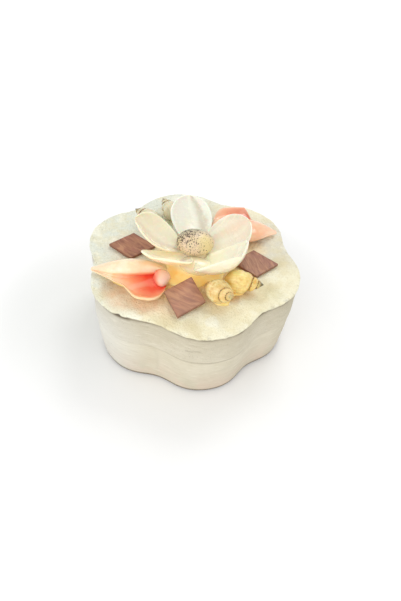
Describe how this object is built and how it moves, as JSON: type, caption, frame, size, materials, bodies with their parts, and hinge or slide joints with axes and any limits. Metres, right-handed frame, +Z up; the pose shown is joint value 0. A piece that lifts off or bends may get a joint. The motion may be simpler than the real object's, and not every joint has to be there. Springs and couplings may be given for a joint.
{
  "type": "shell box",
  "caption": "Lobed trinket box with a lift-off lid that carries a flower of pearly half shells, with small conches, snail shells and shell tiles around it.",
  "frame": {"origin": "middle of the underside, on the table", "axes": "+Z up out of the lid; -Y towards the front lobe; +X to the right seen from the front"},
  "size_m": [0.0974, 0.1044, 0.0648],
  "materials": {
    "plaster": "matte cream plaster coat, granular on the lid, brushed on the wall",
    "glue": "clear amber glue, dried glossy",
    "pearl": "pearly half shell, cream with faint pink and green",
    "speckle": "polished shell, beige with dark specks",
    "nacre": "cut shell tile, mauve brown with wavy grain",
    "coral": "smooth shell, peach outside and coral inside",
    "horn": "snail shell, golden with dark seams between the whorls"
  },
  "bodies": {
    "root": {"box_base": "plaster", "lid": "plaster", "glue_bed": "glue", "petal_back": "pearl", "petal_left": "pearl", "petal_front_left": "pearl", "petal_front_right": "pearl", "petal_right": "pearl", "center_shell": "speckle", "tile_left": "nacre", "tile_front": "nacre", "tile_right": "nacre", "tile_back": "nacre", "snail_front_near": "horn", "snail_front_far": "horn", "snail_back_left": "horn", "snail_back_mid": "horn", "conch_left": "coral", "conch_right": "coral"}
  },
  "joints": []
}
